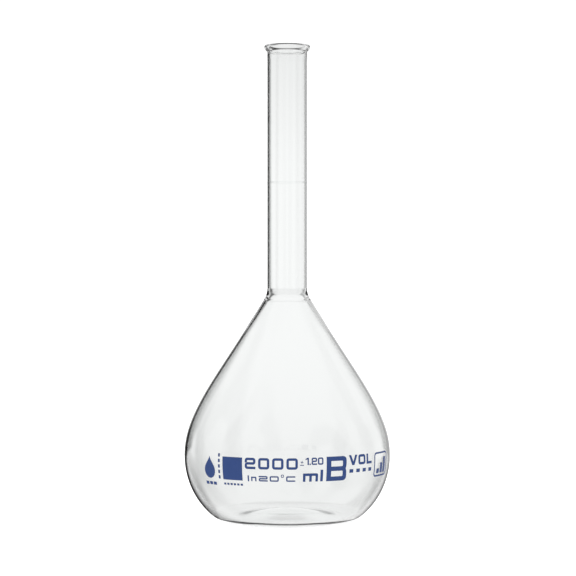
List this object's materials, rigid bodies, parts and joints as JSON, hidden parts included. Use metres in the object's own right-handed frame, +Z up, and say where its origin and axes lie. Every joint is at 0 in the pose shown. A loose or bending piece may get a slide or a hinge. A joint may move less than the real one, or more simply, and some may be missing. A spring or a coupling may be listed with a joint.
{
  "type": "volumetric flask",
  "caption": "Glass volumetric flask: pear-shaped bulb with a pushed-up base, long narrow neck with a graduation line and a flared lip, and a band of blue fired-enamel marks.",
  "frame": {"origin": "on the flask's axis, in the plane of the flat ring that it stands on", "axes": "+Z up along the axis, -Y towards the middle of the printed marks, +X to the reader's right"},
  "size_m": [0.1604, 0.1607, 0.37],
  "materials": {
    "glass": "clear borosilicate glass, fire-polished, colourless with a faint cool green tint in thick places",
    "graduation_line": "fine colourless etched line, slightly frosted",
    "enamel": "navy blue fired enamel, thin, satin, with slightly uneven edges"
  },
  "bodies": {
    "root": {"bulb": "glass", "neck_tube": "glass", "graduation_ring": "graduation_line", "calibration_letter_i": "enamel", "calibration_letter_n": "enamel", "capacity_digit_1": "enamel", "capacity_digit_2": "enamel", "capacity_digit_3": "enamel", "capacity_digit_4": "enamel", "celsius_letter": "enamel", "class_letter_b": "enamel", "degree_sign": "enamel", "emblem_drop": "enamel", "emblem_tick_1": "enamel", "emblem_tick_2": "enamel", "emblem_tick_3": "enamel", "level_bar_1": "enamel", "level_bar_2": "enamel", "level_bar_3": "enamel", "level_frame": "enamel", "marking_panel": "enamel", "panel_tick_1": "enamel", "panel_tick_2": "enamel", "panel_tick_3": "enamel", "panel_tick_4": "enamel", "panel_tick_5": "enamel", "panel_tick_6": "enamel", "side_tick_1": "enamel", "side_tick_2": "enamel", "side_tick_3": "enamel", "side_tick_4": "enamel", "side_tick_5": "enamel", "temperature_digit_1": "enamel", "temperature_digit_2": "enamel", "tolerance_digit_1": "enamel", "tolerance_digit_2": "enamel", "tolerance_digit_3": "enamel", "tolerance_minus": "enamel", "tolerance_plus": "enamel", "tolerance_point": "enamel", "unit_letter_l": "enamel", "unit_letter_m": "enamel", "volume_block_1": "enamel", "volume_block_2": "enamel", "volume_block_3": "enamel", "volume_block_4": "enamel", "volume_letter_l": "enamel", "volume_letter_o": "enamel", "volume_letter_v": "enamel"}
  },
  "joints": []
}
